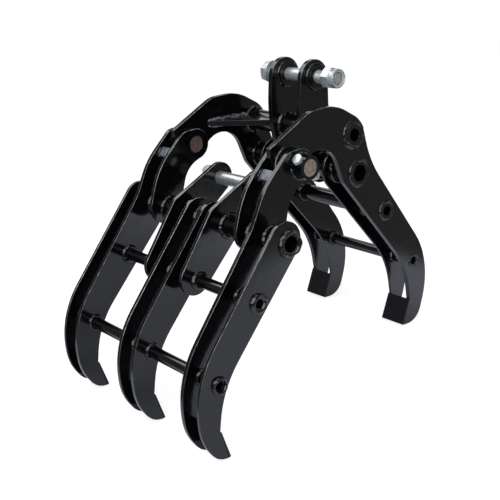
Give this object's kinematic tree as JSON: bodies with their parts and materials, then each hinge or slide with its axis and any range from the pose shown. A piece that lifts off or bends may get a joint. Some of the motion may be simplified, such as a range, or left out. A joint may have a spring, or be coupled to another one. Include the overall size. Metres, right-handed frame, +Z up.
{
  "type": "mini excavator grapple",
  "caption": "Welded steel grapple for a mini excavator: a fixed two-tine rear jaw and a hinged three-tine front jaw with levers, hung from a hitch bolt.",
  "frame": {"origin": "middle of the hitch bolt between the two ears", "axes": "+X towards the two-tine rear jaw, +Y across the jaws towards the hitch bolt's head, +Z up with the grapple standing on its five tips"},
  "size_m": [0.65, 0.43, 0.5595],
  "materials": {
    "black_paint": "gloss",
    "zinc_plate": "bright zinc",
    "bare_steel": "turned"
  },
  "bodies": {
    "rear_jaw": {"arch_plate_near": "black_paint", "arch_plate_far": "black_paint", "pivot_boss_near": "black_paint", "pivot_boss_far": "black_paint", "rear_inner_plate_near": "black_paint", "rear_inner_plate_far": "black_paint", "hitch_ear_near": "black_paint", "hitch_ear_far": "black_paint", "hitch_boss_near": "black_paint", "hitch_boss_far": "black_paint", "hitch_tube": "black_paint", "ear_tube": "black_paint", "rear_tube": "black_paint", "tip_tube": "black_paint", "gusset_near": "black_paint", "gusset_far": "black_paint", "rear_tooth_near": "black_paint", "rear_tooth_far": "black_paint", "hitch_bolt": "zinc_plate", "hitch_nut": "zinc_plate", "hitch_washer": "zinc_plate"},
    "front_jaw": {"outer_tine_plate_near": "black_paint", "outer_tine_plate_far": "black_paint", "long_arm_plate_near": "black_paint", "long_arm_plate_far": "black_paint", "short_arm_plate_near": "black_paint", "short_arm_plate_far": "black_paint", "middle_tine_plate_near": "black_paint", "middle_tine_plate_far": "black_paint", "lever_plate_near": "black_paint", "lever_plate_far": "black_paint", "main_tube": "black_paint", "second_tube": "black_paint", "third_tube": "black_paint", "side_tooth_near": "black_paint", "side_tooth_far": "black_paint", "middle_tooth": "black_paint", "stop_block_near": "black_paint", "stop_block_far": "black_paint", "pivot_pin_near": "bare_steel", "pivot_pin_far": "bare_steel", "pivot_collar_near": "black_paint", "pivot_collar_far": "black_paint", "lever_pin": "zinc_plate", "lever_collar_near": "black_paint", "lever_collar_far": "black_paint", "cross_bolts": "zinc_plate", "cross_nuts": "zinc_plate"}
  },
  "joints": [
    {"name": "jaw_pivot", "type": "hinge", "parent": "rear_jaw", "child": "front_jaw", "pos_m": [-0.1745, 0, -0.1035], "axis": [0, -1, 0], "range_deg": [-27.5, 64]}
  ]
}
